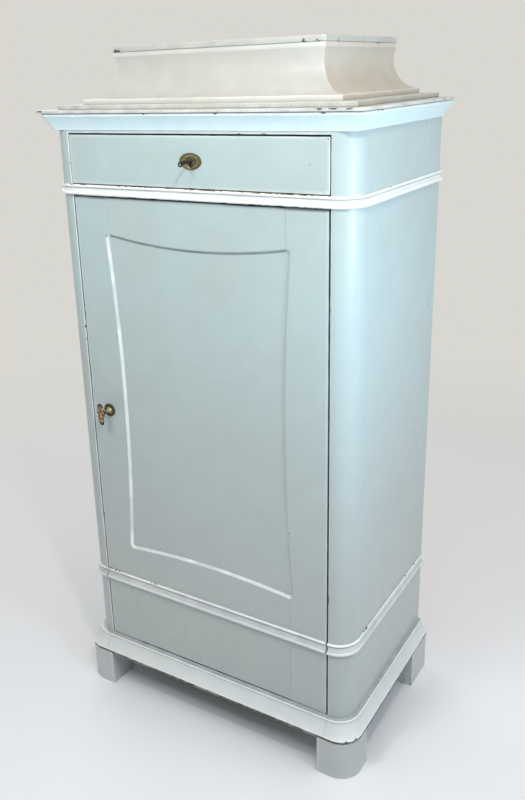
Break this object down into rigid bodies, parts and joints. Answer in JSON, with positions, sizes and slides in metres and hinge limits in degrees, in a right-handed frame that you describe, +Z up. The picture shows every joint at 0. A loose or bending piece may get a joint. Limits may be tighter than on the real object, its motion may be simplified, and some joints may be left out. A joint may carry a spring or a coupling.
{
  "type": "bonnetiere cabinet",
  "caption": "Tall painted one-door cupboard with a drawer over the door, rounded posts, moulded bands, stepped cornice, coved hood and block feet.",
  "frame": {"origin": "on the floor, at the middle of the cupboard's bounding box", "axes": "+Z up, -Y towards the viewer of the door, +X to the viewer's right"},
  "size_m": [0.802, 0.51, 1.6445],
  "materials": {
    "painted_wood": "pale blue-grey satin paint, brushed on wood",
    "painted_moulding": "pale grey satin paint, chipped at the edges",
    "painted_hood": "pale greenish-grey satin paint",
    "bare_pine": "bare planed softwood, darkened with age",
    "aged_brass": "cast brass with dark patina in the hollows",
    "gilt_bronze": "cast bronze, worn gilding over brown patina",
    "dark_steel": "old dark steel"
  },
  "bodies": {
    "carcass": {"corner_post_left": "painted_wood", "corner_post_right": "painted_wood", "side_panel_left": "painted_wood", "side_panel_right": "painted_wood", "top_rail": "painted_wood", "base_rail": "painted_wood", "base_board": "painted_wood", "foot_front_left": "painted_wood", "foot_front_right": "painted_wood", "foot_rear_left": "painted_wood", "foot_rear_right": "painted_wood", "base_moulding_front": "painted_moulding", "base_moulding_left": "painted_moulding", "base_moulding_right": "painted_moulding", "upper_band_front": "painted_moulding", "upper_band_left": "painted_moulding", "upper_band_right": "painted_moulding", "lower_band_left": "painted_moulding", "lower_band_right": "painted_moulding", "cornice_front": "painted_moulding", "cornice_left": "painted_moulding", "cornice_right": "painted_moulding", "cornice_board": "painted_moulding", "hood_base": "painted_hood", "hood_cove_front": "painted_hood", "hood_cove_left": "painted_hood", "hood_cove_right": "painted_hood", "hood_lid": "painted_hood", "back_boards": "bare_pine", "cupboard_floor": "bare_pine", "carcass_top": "bare_pine", "divider_board": "bare_pine", "hood_back": "bare_pine", "drawer_guides": "bare_pine", "shelf_upper": "bare_pine", "shelf_lower": "bare_pine", "shelf_cleats": "bare_pine", "door_stop": "bare_pine", "hinge_pins": "dark_steel", "strike_plate": "dark_steel"},
    "drawer": {"drawer_front": "painted_wood", "drawer_side_left": "bare_pine", "drawer_side_right": "bare_pine", "drawer_back": "bare_pine", "drawer_bottom": "bare_pine", "drawer_lock": "dark_steel", "drawer_escutcheon": "aged_brass"},
    "key": {"drawer_key": "dark_steel"},
    "drawer_bolt": {"drawer_bolt": "dark_steel"},
    "door": {"door_stile_left": "painted_wood", "door_stile_right": "painted_wood", "door_rail_top": "painted_wood", "door_rail_bottom": "painted_wood", "door_panel": "painted_wood", "door_band": "painted_moulding", "hinge_plates": "dark_steel", "door_rosette": "aged_brass", "door_lock": "dark_steel"},
    "handle": {"door_handle": "gilt_bronze"},
    "latch": {"door_latch": "dark_steel"}
  },
  "joints": [
    {"name": "drawer_slide", "type": "slide", "parent": "carcass", "child": "drawer", "axis": [0, -1, 0], "range_m": [0, 0.3]},
    {"name": "door_swing", "type": "hinge", "parent": "carcass", "child": "door", "pos_m": [0.2975, -0.204, 0.8], "axis": [0, 0, 1], "range_deg": [0, 110]},
    {"name": "handle_turn", "type": "hinge", "parent": "door", "child": "handle", "pos_m": [-0.268, -0.23, 0.812], "axis": [0, -1, 0], "range_deg": [0, 90]},
    {"name": "latch_slide", "type": "slide", "parent": "door", "child": "latch", "axis": [-1, 0, 0], "range_m": [0, 0.01]},
    {"name": "key_turn", "type": "hinge", "parent": "drawer", "child": "key", "pos_m": [0.006, -0.22, 1.412], "axis": [0, -1, 0], "range_deg": [0, 180]},
    {"name": "bolt_lift", "type": "slide", "parent": "drawer", "child": "drawer_bolt", "axis": [0, 0, 1], "range_m": [0, 0.008]}
  ],
  "couplings": [
    {"joint": "latch_slide", "follows": "handle_turn", "m_per_rad": 0.006366},
    {"joint": "key_turn", "follows": "bolt_lift", "rad_per_m": 392.69}
  ]
}
